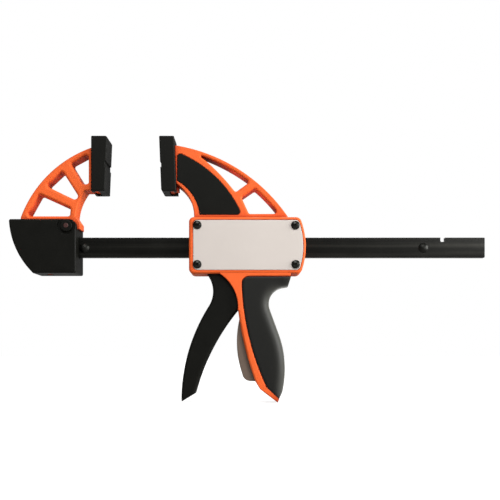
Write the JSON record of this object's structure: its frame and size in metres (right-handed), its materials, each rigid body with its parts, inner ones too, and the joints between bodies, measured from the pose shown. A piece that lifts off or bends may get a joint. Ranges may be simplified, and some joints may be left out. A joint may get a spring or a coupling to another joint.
{
  "type": "one-handed quick release bar clamp",
  "caption": "One-handed bar clamp with a fixed jaw, a sliding jaw with pistol grip, pull trigger and release lever on a flat steel bar.",
  "frame": {"origin": "on the bar's axis, below the clamping face of the fixed pad, in the mid-plane of the bar", "axes": "+X along the bar from the fixed jaw to the sliding jaw, +Z from the bar to the jaws, +Y across the bar towards the side without the button"},
  "size_m": [0.4467, 0.0339, 0.2488],
  "materials": {
    "orange_nylon": "glass-filled nylon, fine moulded grain",
    "black_nylon": "satin moulded",
    "pad_black": "slightly soft, satin",
    "bar_black": "blackened steel, semi-gloss",
    "plate_steel": "bead-blasted, warm grey",
    "screw_black": "blackened",
    "grip_rubber": "soft-touch, matt",
    "trigger_black": "fine grain",
    "lever_grey": "fine grain",
    "hard_steel": "hardened, ground",
    "spring_steel": "drawn wire"
  },
  "bodies": {
    "fixed_jaw_and_bar": {"bar": "bar_black", "front_stop_stud": "bar_black", "rear_stop_stud": "bar_black", "fixed_jaw_frame": "orange_nylon", "fixed_jaw_cover_left": "black_nylon", "fixed_jaw_cover_right": "black_nylon", "fixed_jaw_screws": "screw_black", "fixed_pad": "pad_black"},
    "jaw_lock": {"jaw_lock_button": "black_nylon", "jaw_lock_plunger": "orange_nylon", "jaw_lock_plate": "hard_steel", "jaw_lock_spring": "spring_steel"},
    "sliding_jaw": {"body_frame": "orange_nylon", "moving_pad": "pad_black", "jaw_insert_left": "black_nylon", "jaw_insert_right": "black_nylon", "side_plate_left": "plate_steel", "side_plate_right": "plate_steel", "plate_screws": "screw_black", "plate_sleeve_nuts": "screw_black", "handle_grip": "grip_rubber", "trigger_pivot_pin": "hard_steel", "release_pivot_pin": "hard_steel", "drive_spring": "spring_steel", "brake_spring": "spring_steel"},
    "trigger": {"trigger": "trigger_black"},
    "drive_plates": {"drive_plate_front": "hard_steel", "drive_plate_rear": "hard_steel"},
    "release_lever": {"release_lever": "lever_grey"},
    "brake_plate": {"brake_plate": "hard_steel"}
  },
  "joints": [
    {"name": "jaw_slide", "type": "slide", "parent": "fixed_jaw_and_bar", "child": "sliding_jaw", "axis": [1, 0, 0], "range_m": [-0.048, 0.1055]},
    {"name": "lock_button_press", "type": "slide", "parent": "fixed_jaw_and_bar", "child": "jaw_lock", "axis": [0, 1, 0], "range_m": [0, 0.0065], "stiffness_N_per_m": 400, "springref_m": -0.005, "deforming": ["jaw_lock_spring"]},
    {"name": "trigger_pivot", "type": "hinge", "parent": "sliding_jaw", "child": "trigger", "pos_m": [0.104, 0, 0.0135], "axis": [0, -1, 0], "range_deg": [0, 18], "stiffness_Nm_per_rad": 1.5, "springref_deg": -11.46},
    {"name": "drive_plate_travel", "type": "slide", "parent": "sliding_jaw", "child": "drive_plates", "axis": [1, 0, 0], "range_m": [0, 0.0087], "deforming": ["drive_spring"]},
    {"name": "release_pivot", "type": "hinge", "parent": "sliding_jaw", "child": "release_lever", "pos_m": [0.137, 0, -0.0175], "axis": [0, -1, 0], "range_deg": [0, 8], "stiffness_Nm_per_rad": 1.5, "springref_deg": -11.46},
    {"name": "brake_tilt", "type": "hinge", "parent": "sliding_jaw", "child": "brake_plate", "pos_m": [0.1475, 0, 0.017], "axis": [0, -1, 0], "range_deg": [0, 2.3], "deforming": ["brake_spring"]}
  ],
  "couplings": [
    {"joint": "drive_plate_travel", "follows": "trigger_pivot", "m_per_rad": 0.0272},
    {"joint": "brake_tilt", "follows": "release_pivot", "ratio": 0.27}
  ]
}
